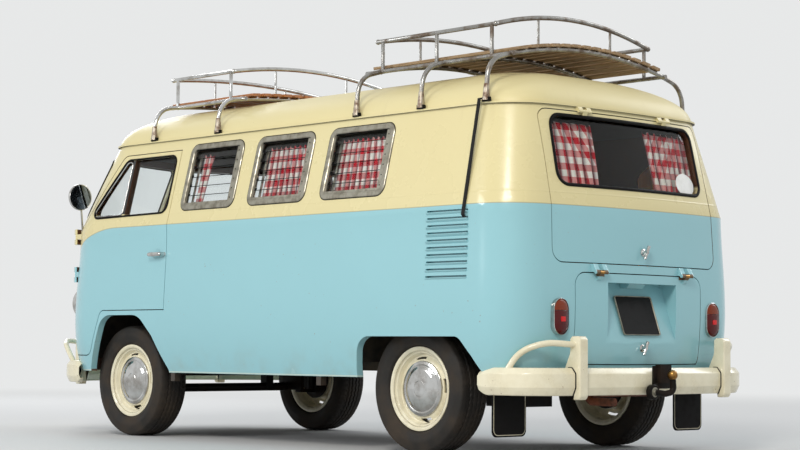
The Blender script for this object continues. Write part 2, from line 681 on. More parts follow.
def glass_finish(name, tint):
    """Clear pane with a faint film of dust."""
    pane = Finish(name, rough=0.0, Transmission_Weight=1.0, IOR=1.2)
    film = pane.noise(5.0, 6.0).ramp(0.45, 0.85)
    return pane.set(Base_Color=pane.mix(film * 0.25, tint, [c * 0.8 for c in tint]),
                    Roughness=film.ramp(0.0, 1.0, 0.0, 0.05))


def lens_finish(name, colour, pitch=0.006):
    """Moulded lens with ribs across it: half of 1 + sin(2 pi x / pitch)."""
    lens = Finish(name, colour=colour, rough=0.16, Specular_IOR_Level=0.35)
    rib = (lens.x / pitch * 2 * pi).sine() * 0.5 + 0.5
    tone = lens.noise(40.0, 2.0)
    shade = lens.mix(rib * 0.4 + tone * 0.3, colour, [c * 0.4 for c in colour])
    return lens.set(Base_Color=shade).bump(rib, 0.25, 0.001)


def drawn_out(axis, across, along):
    """Scales of a noise that is drawn out along one axis."""
    return tuple(along if name == axis else across for name in "xyz")


def wood_finish(name, first, second, gloss, axis="y"):
    """Boards with long grain: noise drawn out along the boards, with darker growth lines and planks."""
    board = Finish(name, Coat_Weight=gloss, Coat_Roughness=0.12)
    grain = board.noise(1.6, 7.0, 0.65, drawn_out(axis, 26.0, 1.6))
    lines = ((grain * 34.0).sine() * 0.5 + 0.5).ramp(0.1, 0.95)
    plank = board.noise(5.0, 1.0, 0.5, drawn_out(axis, 2.6, 0.05))
    colour = board.mix(lines * 0.5 + grain * 0.4, first, second)
    colour = board.mix(plank.ramp(0.4, 0.7) * 0.45, colour, [c * 0.55 for c in first])
    rough = (lines + grain).ramp(0.2, 1.6, 0.32 if gloss else 0.62, 0.5 if gloss else 0.9)
    return board.set(Base_Color=colour, Roughness=rough).bump(lines * 0.5 + grain, 0.3, 0.001)


def check_finish(name):
    """Woven checks from two sets of stripes in the cloth's own plane: white, full colour where they cross,
    and half colour between, with the threads as fine ridges, darker where the wave of the folds goes back."""
    cloth = bpy.context.scene.van_cloth
    weave = Finish(name, rough=0.9, Specular_IOR_Level=0.2)
    u, v, _ = weave.split(weave.node("ShaderNodeUVMap", {"uv_map": "flat"}))
    wave, _, _ = weave.split(weave.node("ShaderNodeUVMap", {"uv_map": "wave"}))
    across, down = ((along / (2 * cloth.check)).math("FRACT") > 0.5 for along in (u, v))
    share = ((across + down) * 0.5) ** 0.6
    threads = 5200.0
    thread = (u * threads).sine() * (v * threads).sine()
    white = weave.mix(weave.noise(20.0), shade_of(252, 249, 242), shade_of(240, 235, 226))
    lit = weave.mix(share, white, list(cloth.red))
    shadow = weave.mix(share, shade_of(96, 40, 52), shade_of(70, 4, 14))
    colour = weave.mix(wave.ramp(-0.9, 0.3, 0.85, 0.0), lit, shadow)
    return weave.set(Base_Color=colour).bump(thread, 0.25, 0.0004)


def vinyl_finish(name):
    """Grained vinyl with darker scuffs."""
    cover = Finish(name, Coat_Weight=0.15, Coat_Roughness=0.3)
    grain = cover.node("ShaderNodeTexVoronoi", {"feature": "SMOOTH_F1"},
                       {"Vector": cover.where, "Scale": 320.0, "Smoothness": 0.4})
    scuff = cover.noise(7.0, 5.0).ramp(0.4, 0.8)
    vinyl = list(bpy.context.scene.van_cloth.vinyl)
    return cover.set(Base_Color=cover.mix(scuff, vinyl, [c * 0.7 for c in vinyl]),
                     Roughness=scuff.ramp(0.0, 1.0, 0.38, 0.58)).bump(grain, 0.25, 0.0006)


def strap_finish(name):
    """Flat webbing: diagonal threads that cross, sin(k (y + z)) * sin(k (y - z))."""
    web = Finish(name, Specular_IOR_Level=0.25)
    threads = 2400.0
    tone = (((web.y + web.z) * threads).sine() * ((web.y - web.z) * threads).sine()).ramp(-0.6, 0.6)
    return web.set(Base_Color=web.mix(tone, shade_of(9, 9, 9), shade_of(28, 27, 26)),
                   Roughness=tone.ramp(0.0, 1.0, 0.8, 0.6)).bump(tone, 0.4, 0.0006)


# Finishes that are not plain: the function that makes each, and what it is given
MAKERS = {
    "body_paint": (body_finish,),
    "cream_paint": (cream_finish,),
    "tyre_rubber": (tyre_finish,),
    "glass": (glass_finish, (0.90, 0.93, 0.93)),
    "lamp_glass": (glass_finish, (0.95, 0.97, 0.97)),
    "lamp_plastic": (lens_finish, shade_of(92, 0, 3)),
    "lamp_amber": (lens_finish, shade_of(136, 48, 2)),
    "lamp_red": (lens_finish, shade_of(236, 20, 26), 0.004),
    "amber_plastic": (lens_finish, shade_of(226, 120, 20)),
    "varnished_wood": (wood_finish, shade_of(190, 122, 62), shade_of(118, 66, 32), 0.4),
    "weathered_wood": (wood_finish, shade_of(182, 154, 118), shade_of(116, 88, 62), 0.0),
    "panel_wood": (wood_finish, shade_of(255, 176, 92), shade_of(236, 150, 74), 0.0, "z"),
    "curtain_cloth": (check_finish,),
    "seat_vinyl": (vinyl_finish,),
    "strap_webbing": (strap_finish,),
}
MADE = {}


def finish(name):
    """Material of that name, made at its first use."""
    if name not in MADE:
        maker, *given = MAKERS.get(name, (plain_finish,))
        MADE[name] = maker(name, *given)
    return MADE[name].material


PANELS = ["nose_panel", "side_panel_left", "side_panel_right", "rear_panel", "roof_panel", "cab_door_left",
          "cab_door_right", "cargo_door_front", "cargo_door_rear", "tailgate", "engine_lid"]
UNDERSIDE = ["floor_pan", "front_wheel_tubs", "rear_wheel_tubs", "rear_deck", "front_axle", "rear_axle",
             "engine_block", "exhaust", "knuckle_left", "knuckle_right", "tow_hitch"]
GLAZING = ["windscreen_panes", "side_window_louvres", "cab_glass_left", "cab_glass_right", "tailgate_glass",
           "side_window_frames", "cargo_window_front", "cargo_window_rear"]
FITTINGS = ["dashboard", "steering_wheel", "rear_bench", "rear_cupboard", "mirror_left", "mirror_right",
            "tie_strap"]


class VAN_OT_panels(bpy.types.Operator):
    """Painted panels, doors and lids"""

    bl_idname = "van.panels"
    bl_label = "Body panels"

    def execute(self, context):
        for node in PANELS:
            dress(node, 28.0, "body_paint")
        return {"FINISHED"}


class VAN_OT_underside(bpy.types.Operator):
    """Floor, tubs, deck, axles, engine, exhaust and tow hitch"""

    bl_idname = "van.underside"
    bl_label = "Underside"

    def execute(self, context):
        for node in UNDERSIDE:
            dress(node)
        return {"FINISHED"}


def beside(mesh):
    """1 at the faces that hang together with another point than the lowest one, and 0 at the rest. The lowest
    number is passed along the edges until nothing changes."""
    first, second = read(mesh.edges, "vertices", 2).reshape(-1, 2).T
    label, last = np.arange(len(mesh.vertices)), None
    while last is None or (label != last).any():
        last = label.copy()
        low = np.minimum(label[first], label[second])
        np.minimum.at(label, first, low)
        np.minimum.at(label, second, low)
        label = label[label]
    lowest = read(mesh.vertices, "co", 3, float)[2::3].argmin()
    corner = read(mesh.loops, "vertex_index", 1)[read(mesh.polygons, "loop_start", 1)]
    return (label[corner] != label[lowest]).astype(np.int32)


class VAN_OT_glazing(bpy.types.Operator):
    """Panes, louvred windows and their frames"""

    bl_idname = "van.glazing"
    bl_label = "Glazing"

    def execute(self, context):
        for node in GLAZING:
            piece = dress(node)
            if node.startswith("cargo_window"):
                piece.data.materials.append(finish("glass"))
                piece.data.polygons.foreach_set("material_index", beside(piece.data))
        return {"FINISHED"}


class VAN_OT_racks(bpy.types.Operator):
    """Roof racks and their boards"""

    bl_idname = "van.racks"
    bl_label = "Roof racks"

    def execute(self, context):
        for node in ("front_rack", "rear_rack"):
            dress(node, 50.0)
            soften(dress(node + "_slats"), 0.003)
        return {"FINISHED"}


class VAN_OT_fittings(bpy.types.Operator):
    """Dashboard, steering wheel, bench, cupboard, mirrors and strap"""

    bl_idname = "van.fittings"
    bl_label = "Fittings"

    def execute(self, context):
        for node in FITTINGS:
            dress(node, 40.0)
        return {"FINISHED"}


def wheel_frame(node):
    """Centre of a wheel on its axle, and 1 on the left or -1 on the right."""
    low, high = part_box(node)
    centre = (low + high) / 2
    return np.array(centre), 1 if centre.x > 0 else -1


def fade(value, width):
    """0 below zero, rising to 1 at a width."""
    return np.clip(value / width, 0, 1)


# Tread: places of the grooves across it, half their width, their wander, and where the shoulder slots run
GROOVES = (-0.040, -0.014, 0.014, 0.040)
GROOVE_HALF = 0.0042
GROOVE_WANDER = 0.0035
SHOULDER = (0.052, 0.086)


def tread(profile, wheels, radius):
    """Tyre surface round and across: radius less the groove depth wherever a zigzag groove or a slot between
    shoulder blocks runs. A groove wanders as a triangle wave of the turn."""
    angle = np.linspace(0, 2 * pi, wheels.steps + 1)[:, None]
    across, reach = profile.T[:, None]
    wave = abs((angle * wheels.grooves / (2 * pi)) % 1 - 0.5) * 4 - 1
    cut = 0 * wave * across
    for place_at in GROOVES:
        off = abs(across - place_at - GROOVE_WANDER * wave)
        cut = np.maximum(cut, fade(GROOVE_HALF - off, 0.0015))
    slot = (fade(abs(across) - SHOULDER[0], 0.003) * fade(SHOULDER[1] - abs(across), 0.004)
            * fade(-0.55 - wave * np.sign(across + 1e-9), 0.2))
    outer = fade(reach - (radius - 0.022), 0.004)
    return angle, across, reach - wheels.depth * outer * np.maximum(cut, slot * 0.7)


def tyre_profile(half, radius):
    """Section of a tyre from bead to bead: walls with two ribs, and a crown that falls with the square of the
    way from its middle."""
    edge, drop = 0.064, 0.0025
    outer = rounded([(0.071, 0.186), (0.071, 0.209), (0.086, 0.216), (half, 0.258), (0.088, radius - 0.010),
                     (0.066, radius - 0.001), (0.0, radius)], [0, 0.004, 0.02, 0.05, 0.018, 0.03, 0],
                    closed=False, steps=7)
    crown = np.stack([np.linspace(edge, 0.0, 24), radius - drop * np.linspace(1, 0, 24) ** 2], -1)
    wall = outer[outer[:, 0] > edge]
    ribs = sum(0.0012 * np.exp(-((wall[:, 1] - at) / 0.003) ** 2) for at in (0.236, 0.284))
    right = np.concatenate([wall + np.stack([ribs, 0 * ribs], -1), crown])
    return np.concatenate([right, (right * (-1, 1))[::-1][1:], right[:1]])


class VAN_OT_tyres(bpy.types.Operator):
    """Tyres with zigzag grooves, shoulder blocks and ribs round the walls"""

    bl_idname = "van.tyres"
    bl_label = "Tyres"

    def execute(self, context):
        for corner in CORNERS:
            node = "tyre_" + corner
            centre, side = wheel_frame(node)
            low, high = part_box(node)
            radius = (high.z - low.z) / 2
            profile = tyre_profile((high.x - low.x) / 2, radius)
            angle, across, reach = tread(profile, context.scene.van_wheels, radius)
            xyz = np.stack([side * across + 0 * reach, reach * np.cos(angle), reach * np.sin(angle)], -1)
            tyre = Shape().grid(centre + xyz)
            tyre.build("tyre." + corner, "road_wheel_" + corner, "tyre_rubber", 50.0, (node,))
        return {"FINISHED"}


# Half section of a rim and its disc: way out from the middle plane, and radius
SLOT = [(0.0476, 0.1456), (0.0398, 0.1573), (0.0320, 0.1573), (0.0400, 0.1456)]
RIM = [(0.078, 0.197), (0.078, 0.2075), (0.0713, 0.2075), (0.0713, 0.1858), (-0.0713, 0.1858),
       (-0.0713, 0.2075), (-0.078, 0.2075), (-0.078, 0.196), (-0.070, 0.179), (0.030, 0.179), (0.029, 0.166),
       SLOT[2], SLOT[3], (0.041, 0.134), (0.024, 0.122), (-0.028, 0.122), (-0.028, 0.0203), (0.031, 0.0203),
       (0.031, 0.0001), (0.044, 0.0001), (0.044, 0.118), (0.050, 0.130), (0.050, 0.142), SLOT[0], SLOT[1],
       (0.038, 0.160), (0.038, 0.166), (0.060, 0.176), (0.061, 0.184), (0.074, 0.189)]
RIM_RADII = [0.004, 0.003, 0.001, 0.002, 0.002, 0.001, 0.003, 0.004, 0.006, 0.003, 0.004, 0, 0, 0.004, 0.003,
             0.002, 0, 0, 0, 0, 0.002, 0.012, 0.010, 0, 0, 0.008, 0.005, 0.004, 0.003, 0.006]


def slotted_rim(outline, centre, side, slots):
    """Revolve of a closed outline with slots through its disc: between two circles the faces are left out on
    the front and the back, and walls join the two openings. The first slot is near the top."""
    steps, reach = 48, 7
    lean = pi / slots - 0.12
    xyz = turned(outline, centre, (side, 0, 0), (0, side * sin(lean), cos(lean)), steps * slots)
    inner, outer, far, near = (int(np.argmin(np.hypot(*(outline - point).T))) for point in SLOT)
    skip = np.zeros((steps * slots, len(outline) - 1), bool)
    shape = Shape()
    for slot in range(slots):
        middle = slot * steps + steps // 2
        first, last = middle - reach, middle + reach
        skip[first:last, inner:outer] = True
        skip[first:last, far:near] = True
        for pair in ((inner, near), (outer, far)):
            shape.grid(xyz[first:last + 1, pair])
        for row in (first, last):
            shape.grid(xyz[row, [[inner, outer], [near, far]]])
    return shape.grid(xyz, skip=skip)


class VAN_OT_wheels(bpy.types.Operator):
    """Painted rims with slots, and bright domed caps"""

    bl_idname = "van.wheels"
    bl_label = "Wheels"

    def execute(self, context):
        wheels = context.scene.van_wheels
        outline = looped(rounded(RIM, RIM_RADII, steps=5))
        for corner in CORNERS:
            body = "road_wheel_" + corner
            centre, side = wheel_frame("wheel_" + corner)
            centre[0] = wheel_frame("tyre_" + corner)[0][0]
            rim = slotted_rim(outline, centre, side, wheels.slots)
            rim.build("rim." + corner, body, "cream_paint", 35.0, ("wheel_" + corner,))
            lathe("hubcap." + corner, self.cap(wheels.cap), centre, (side, 0, 0), (0, 0, 1), 128, body,
                  "chrome")
            valve = centre + (side * 0.040, 0.030, -0.163)
            stem = valve + np.array([(0, 0, 0), (side * 0.016, 0.001, 0.004), (side * 0.030, 0.002, 0.010)])
            tube = sweep(stem, ring(0.004, 10), (0, 1, 0))
            Shape().grid(tube, True).build("valve." + corner, body, "black_rubber")
        return {"FINISHED"}

    def cap(self, radius):
        """Profile of a hub cap from its rolled edge to its middle."""
        corners = [(0.0455, radius), (0.053, radius - 0.001), (0.057, 0.121), (0.055, 0.113), (0.063, 0.094),
                   (0.0695, 0.052), (0.0698, 0.040), (0.0715, 0.037), (0.0725, 0.0)]
        radii = [0, 0.003, 0.004, 0.004, 0.05, 0.03, 0.001, 0.002, 0]
        profile = rounded(corners, radii, closed=False) + (0.0052, 0.0)
        profile[-1, 1] = 0.0
        return profile


def half_round(width, height, shift=0.0):
    """Half-round section whose flat side lies on the skin."""
    angle = np.linspace(0, 2 * pi, 12, endpoint=False)
    return np.stack([shift + width / 2 * np.cos(angle), height * (0.25 + 0.75 * np.sin(angle))], -1)


def strip(shape, outline, skin, side, section, count=200):
    """Section carried round a closed outline on the skin: its first coordinate runs away from the middle of
    the outline, and its second out of the skin."""
    points, out = skin(evenly(outline, count, closed=True), side)
    turn = np.sign(np.cross(points[1] - points[-1], out[0]) @ (points[0] - points.mean(0)))
    return shape.grid(sweep(points, looped(np.asarray(section) * (turn, 1)), out, closed=True))


def raised(shape, outline, skin, side, rows):
    """Plate on the skin: copies of an outline, each drawn in by a share towards its middle and set off the
    skin by a height."""
    outline = np.asarray(outline, float)
    middle = outline.mean(0)
    layers = []
    for share, proud in rows:
        at, out = skin(middle + (looped(outline) - middle) * share, side)
        layers.append(at + out * proud)
    return shape.grid(np.array(layers))


def oblong(y0, z0, y1, z1):
    """Corners of a rectangle."""
    return [(y0, z0), (y1, z0), (y1, z1), (y0, z1)]


def brick(low, high):
    """Block as a rectangle carried from its lowest to its highest level."""
    loop = np.array(oblong(*low[:2], *high[:2]) + [low[:2]])
    return np.array([np.column_stack([loop, np.full(5, z)]) for z in (low[2], high[2])])


def window_outline(y0, y1):
    """Rounded outline of a side window."""
    return rounded(oblong(y0, SIDE_WINDOW_LOW, y1, SIDE_WINDOW_HIGH), SIDE_WINDOW_CORNER)


# Sections on the skin: share of the outline or way out from it, and height
BAND = [(-0.022, -0.0095), (-0.022, 0.0022), (-0.0185, 0.0055), (0.0050, 0.0055), (0.0085, 0.0022),
        (0.0085, -0.0008), (-0.0006, -0.0008), (-0.0006, -0.0095)]
PLATE = [(0.0, -0.0085), (1.0, -0.0085), (1.0, -0.0030), (0.95, -0.0020), (0.0, -0.0020)]
STUD = [(0.0, -0.0024), (1.0, -0.0024), (0.8, -0.0006), (0.0, 0.0)]
EDGE = [(0.0, -0.0098), (1.0, -0.0098), (1.0, -0.0070), (0.0, -0.0070)]
INNER = [(0.0, -0.0340), (1.0, -0.0340), (1.0, -0.0290), (0.0, -0.0290)]


def window_frame(metal, dark, y0, y1, side):
    """Frame, stiles, sill, rail, and for each blade its two dark edges and the stud that it turns on."""
    inset, turn = 0.020, np.linspace(0, 2 * pi, 9)[:-1]
    low, high = SIDE_WINDOW_LOW + inset, SIDE_WINDOW_HIGH - inset

    def bar(shape, start, base, stop, top, rows):
        raised(shape, oblong(start, base, stop, top), side_skin, side, rows)

    outline = window_outline(y0, y1)
    strip(metal, outline, side_skin, side, BAND)
    strip(dark, outline, side_skin, side, half_round(0.005, 0.003, 0.0098))
    strip(dark, outline, side_skin, side, half_round(0.005, 0.003, -0.0235) - (0, 0.005))
    bar(metal, y1 - 0.054, low, y1 - 0.021, high, PLATE)
    bar(metal, y0 + 0.021, low, y0 + 0.032, high, PLATE)
    bar(metal, y0 + inset, low, y1 - inset, low + 0.014, [(share, height + 0.004) for share, height in PLATE])
    bar(metal, y0 + 0.046, low, y0 + 0.062, high - 0.040, INNER)
    pitch = (high - low - 0.004) / BLADES
    for i in range(BLADES):
        z = low + 0.002 + i * pitch
        bar(dark, y0 + 0.022, z, y1 - 0.055, z + 0.003, EDGE)
        bar(dark, y0 + 0.033, z + 0.004, y0 + 0.045, z + 0.014, EDGE)
        stud = (y1 - 0.037, z + 0.026) + 0.0042 * np.stack([np.cos(turn), np.sin(turn)], -1)
        raised(dark, stud, side_skin, side, STUD)


class VAN_OT_frames(bpy.types.Operator):
    """Aluminium frames of the side windows with their rails and rivets, and the edges of the blades"""

    bl_idname = "van.frames"
    bl_label = "Window frames"

    def execute(self, context):
        for number, (body, side, rows) in enumerate(SIDE_PLACES, 1):
            metal, dark = Shape(), Shape()
            for y0, y1 in rows:
                window_frame(metal, dark, y0, y1, side)
            metal.build("window_frames_%d" % number, body, "aluminium", 30.0)
            dark.build("frame_rubber_%d" % number, body, "black_rubber")
        return {"FINISHED"}


WING = [(-1.214, 1.586), (-1.262, 1.586), (-1.516, 1.275), (-1.214, 1.275)]


class VAN_OT_seals(bpy.types.Operator):
    """Black rubber round the windscreen, the rear window and the cab windows, and the bright wing frames"""

    bl_idname = "van.seals"
    bl_label = "Window seals"

    def execute(self, context):
        section = half_round(context.scene.van_trim.seal, 0.007)
        front = Shape()
        for side, _ in SIDES:
            pane = rounded(np.array(WINDSCREEN) * (side, 1), WINDSCREEN_RADII)
            strip(front, pane, end_skin, -1, section)
        front.build("windscreen_seals", "body", "black_rubber")
        rear = strip(Shape(), rounded(REAR_WINDOW, 0.06), end_skin, 1, section * (1.25, 1))
        rear.build("rear_window_seal", "tailgate", "black_rubber")
        bright = half_round(0.009, 0.006) - (0, 0.004)
        for side, end in SIDES:
            door = "cab_door_" + end
            cab = strip(Shape(), rounded(CAB_WINDOW, CAB_WINDOW_RADII), side_skin, side, section * (0.8, 1))
            cab.build("cab_seal_" + end, door, "black_rubber")
            wing = strip(Shape(), rounded(WING, [0.02, 0.03, 0.02, 0.02]), side_skin, side, bright)
            wing.build("wing_frame_" + end, door, "chrome")
        return {"FINISHED"}


def bumper_path(end, reach):
    """Plan of a bumper from side to side, trimmed at a place along the van."""
    half = evenly(half_plan(BUMPER_HALF, FRONT_BUMPER_Y, REAR_BUMPER_Y, 1.0, end), 900)
    half = half[abs(half[:, 1]) >= reach]
    return evenly(np.concatenate([(half * (-1, 1))[::-1], half[1:]]), 241)


def overrider(x, end, shape):
    """Upright guard: its side outline, drawn in by a quarter round towards each cheek."""
    face = REAR_BLADE_Y if end > 0 else -FRONT_BLADE_Y
    outline = evenly(rounded(OVERRIDER, OVERRIDER_RADII, steps=6), 120, closed=True)
    ahead = unit(np.roll(outline, -1, 0) - np.roll(outline, 1, 0))
    inward = np.stack([-ahead[:, 1], ahead[:, 0]], -1)
    edge = 0.007
    rows = []
    for side in (-1, 1):
        for turn in np.linspace(0, pi / 2, 6)[::-side]:
            loop = looped(outline + inward * edge * (1 - sin(turn)))
            across = x + side * (OVERRIDER_HALF - edge * (1 - cos(turn)))
            rows.append(np.column_stack([np.full(len(loop), across), end * (face + loop[:, 0]), loop[:, 1]]))
    return shape.grid(np.array(rows), True)


# Section of a bumper blade: way in from its face, and height. The piping lies along its folds
BLADE = [(0.0, 0.338), (0.0, 0.402), (-0.022, 0.430), (-0.050, 0.430), (-0.050, 0.426), (-0.024, 0.426),
         (-0.004, 0.400), (-0.004, 0.340), (-0.020, 0.304), (-0.050, 0.304), (-0.050, 0.300), (-0.017, 0.300)]
BLADE_RADII = [0.010, 0.010, 0.012, 0, 0, 0.004, 0.004, 0.004, 0.004, 0, 0, 0.010]
PIPING = [(-0.046, 0.4305), (-0.022, 0.4305), (0.0005, 0.403), (0.0005, 0.337), (-0.016, 0.2995)]
BLADE_Z = 0.365
BUMPERS = ((-1, 1.610, "front_bumper", FRONT_GUARD), (1, 1.688, "rear_bumper", REAR_GUARD))


class VAN_OT_bumpers(bpy.types.Operator):
    """Bumper blades with folded edges, their overriders and tubes, and the rubber between them"""

    bl_idname = "van.bumpers"
    bl_label = "Bumpers"

    def execute(self, context):
        rubber = Shape()
        blade = looped(rounded(BLADE, BLADE_RADII, steps=5)) - (0, BLADE_Z)
        for end, reach, name, guard in BUMPERS:
            plan = bumper_path(end, reach)
            from_tip = np.minimum(np.arange(len(plan)), np.arange(len(plan))[::-1]) / 5
            shrink = 0.66 + 0.34 * np.sin(np.clip(from_tip, 0, 1) * pi / 2)
            path = np.column_stack([plan, np.full(len(plan), BLADE_Z)])
            shape = Shape().grid(sweep(path, blade * (end * -1, 1), (0, 0, 1), scale=shrink), True)
            flat = plan[abs(plan[:, 0]) < 0.75]
            flat = flat[np.argsort(flat[:, 0])]
            for side in (1, -1):
                overrider(side * OVERRIDER_X, end, shape)
                corners = np.array(guard) * (side, 1, 1)
                bar = rounded(corners, [0, 0.19, 0.17, 0], closed=False, steps=14)
                shape.grid(sweep(bar, ring(context.scene.van_trim.bar, 20), (0, 0.02, 1)), True)
                for beside_guard in (-0.0300, 0.0300):
                    x = side * (OVERRIDER_X + beside_guard)
                    y = np.interp(x, *flat.T)
                    line = rounded([(x, y + end * a, b) for a, b in PIPING], 0.01, closed=False)
                    rubber.grid(sweep(line, ring(0.0032, 8), (1, 0, 0)), True)
            shape.build(name + ".folded", "body", "cream_paint", 30.0, (name,))
        rubber.build("bumper_rubber", "body", "black_rubber")
        return {"FINISHED"}


def slot_outline(centre, width, height, steps=40):
    """Upright oval with straight sides."""
    x, z = centre
    r = width / 2
    half = height / 2 - r
    angle = np.linspace(0, pi, steps)
    top = np.stack([x + r * np.cos(angle), z + half + r * np.sin(angle)], -1)
    low = np.stack([x - r * np.cos(angle), z - half - r * np.sin(angle)], -1)
    return np.concatenate([top, low])


def dome(radius, base, rise, steps, power=1.0):
    """Profile of a dome: base + rise * (1 - (r / radius) ** 2) ** power at each radius r."""
    r = np.linspace(radius, 0.0, steps)
    return np.stack([base + rise * (1 - (r / radius) ** 2) ** power, r], -1)


class VAN_OT_lamps(bpy.types.Operator):
    """Tail lamps, headlamps and front indicators"""

    bl_idname = "van.lamps"
    bl_label = "Lamps"

    def execute(self, context):
        self.tail_lamps(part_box("tail_lamps")[1].y)
        self.front_lamps(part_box("headlamps")[0].y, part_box("front_indicators")[0].y)
        return {"FINISHED"}

    def tail_lamps(self, face):
        """Oval rims from the skin out to the lens, whose dome face - 0.019 + 0.0165 * (1 - share ** 2) ** 0.5
        is parted into an amber top and a red foot, and a small lens on each."""
        rims, red, amber, bright = Shape(), Shape(), Shape(), Shape()
        for side in (1, -1):
            middle = np.array([side * TAIL_LAMP[0], TAIL_LAMP[1]])
            oval = looped(slot_outline(middle, 0.104, 0.176))
            foot = end_skin(oval, 1)[0][:, 1] - 0.006
            rows = []
            for grow, sunk in ((1.0, None), (1.0, 0.022), (0.985, 0.015), (0.95, 0.0135), (0.925, 0.017),
                               (0.925, 0.030)):
                loop = middle + (oval - middle) * (1 - (1 - grow) * np.array([1.0, 0.6]))
                y = foot if sunk is None else np.full(len(loop), face - sunk)
                rows.append(np.stack([loop[:, 0], y, loop[:, 1]], -1))
            rims.grid(np.array(rows))
            share = np.linspace(1.0, 0.0, 14)[:, None]
            loop = middle + (oval - middle)[None] * share[..., None] * (0.93, 0.958)
            bulge = face - 0.019 + 0.0165 * np.sqrt(np.clip(1 - share**2, 0, 1)) + 0 * oval[None, :, 0]
            lens = np.stack([loop[..., 0], bulge, loop[..., 1]], -1)
            for shape, limit, rise in ((amber, np.maximum, 0.030), (red, np.minimum, 0.0285)):
                part = lens.copy()
                part[..., 2] = limit(part[..., 2], middle[1] + rise)
                shape.grid(part)
            spot = looped(rounded(oblong(-0.016, -0.012, 0.016, 0.012), 0.005))
            rows = []
            for grow, sunk in ((1.0, 0.008), (1.0, 0.0018), (0.92, 0.0006), (0.0, 0.0004)):
                x, z = (spot * grow + (middle[0], middle[1] - 0.012)).T
                rows.append(np.stack([x, np.full(len(x), face - sunk), z], -1))
            bright.grid(np.array(rows))
        rims.build("tail_lamp_rims", "body", "chrome", 35.0, ("tail_lamps",))
        red.build("tail_lamp_red", "body", "lamp_plastic", 60.0)
        amber.build("tail_lamp_amber", "body", "amber_plastic", 60.0, look="lamp_amber")
        bright.build("tail_lamp_spots", "body", "lamp_plastic", look="lamp_red")

    def front_lamps(self, face, indicator_face):
        """Surfaces of revolution about the way the lamps look: rims, clear glass, bowls and amber bullets."""
        rims, panes, bowls, bullets = Shape(), Shape(), Shape(), Shape()
        wide_rim = np.array([(-0.110, 0.103), (-0.026, 0.104), (-0.012, 0.100), (-0.008, 0.092),
                             (-0.012, 0.088), (-0.030, 0.087)])
        small_rim = np.array([(-0.090, 0.046), (-0.030, 0.046), (-0.022, 0.040), (-0.026, 0.036)])
        for side in (1, -1):
            lamp = (side * HEADLAMP[0], face, HEADLAMP[1])
            indicator = (side * INDICATOR[0], indicator_face, INDICATOR[1])
            for shape, profile, centre, steps in (
                    (rims, wide_rim, lamp, 96), (panes, dome(0.088, -0.016, 0.015, 14), lamp, 96),
                    (bowls, dome(0.086, -0.022, -0.055, 12), lamp, 64), (rims, small_rim, indicator, 48),
                    (bullets, dome(0.037, -0.026, 0.025, 12, 0.5), indicator, 48)):
                shape.grid(turned(profile, centre, (0, -1, 0), (1, 0, 0), steps))
        rims.build("front_lamp_rims", "body", "chrome", stands_for=("headlamps", "front_indicators"))
        panes.build("headlamp_glass", "body", "lamp_glass", 60.0, outward=False)
        bowls.build("headlamp_bowls", "body", "chrome", 60.0, outward=False, look="mirror")
        bullets.build("indicator_lenses", "body", "amber_plastic", 60.0)


# Curtains: from and to along the rail, then seed of the folds and side, or the taper
REAR_CURTAINS = ((0.556, 0.224, 1.0, "left"), (-0.556, -0.204, 2.4, "right"))
SIDE_CURTAINS = ((-0.590, -0.528, -0.45), (-0.004, 0.398, 0.03), (0.584, 1.008, 0.03))


def curtain(span, levels, base, fold, pitch, seed, taper):
    """Hanging cloth: across is the place along the rail and up the height; depth = base + fold * sine of the
    folds, whose phase and height wander a little down the cloth. The cloth narrows by taper at its top, whose
    edge dips between the folds. The flat coordinate across is the length of the wave, so that checks follow
    the folds. Also gives the cloth's flat width and the sine of its folds."""
    folds = max(2, round(abs(span[1] - span[0]) / pitch))
    u, v = np.meshgrid(np.linspace(0, 1, folds * 18 + 1), np.linspace(0, 1, 30), indexing="ij")
    phase = 2 * pi * folds * u + 0.5 * np.sin(2.1 * v + seed) + 0.35 * np.sin(9 * u + seed)
    bunch = u + 0.16 / folds * np.sin(phase * 2) * (0.4 + 0.6 * v)
    along = span[0] + (span[1] - span[0]) * bunch * (1 - taper * v)
    rise = fold * (0.70 + 0.30 * np.sin(2.3 * v + 7 * u + seed))
    depth = base(along, levels[0] + (levels[1] - levels[0]) * v)
    depth = depth + rise * (np.sin(phase) - 0.18 * np.sin(2 * phase + seed))
    height = levels[0] + (levels[1] - levels[0]) * v - 0.007 * v**12 * (1 - np.cos(phase + 0.6))
    run = np.cumsum(np.hypot(np.gradient(depth, axis=0), np.gradient(along, axis=0)), axis=0)
    flat = np.stack([run, height - levels[0]], -1)
    return along, depth, height, flat, run[-1].max() - run[0].min(), np.sin(phase)


def behind_tail(along, level):
    """Depth of a curtain behind the rear window."""
    at = end_skin(np.stack([along.ravel(), level.ravel()], -1), 1)[0]
    return at[:, 1].reshape(level.shape) - 0.0530


def behind_side(along, level):
    """Depth of a curtain behind the side windows."""
    heights, halves = np.array(SKIN_ROWS).T[:2]
    return np.interp(level, heights, halves) - 0.0500


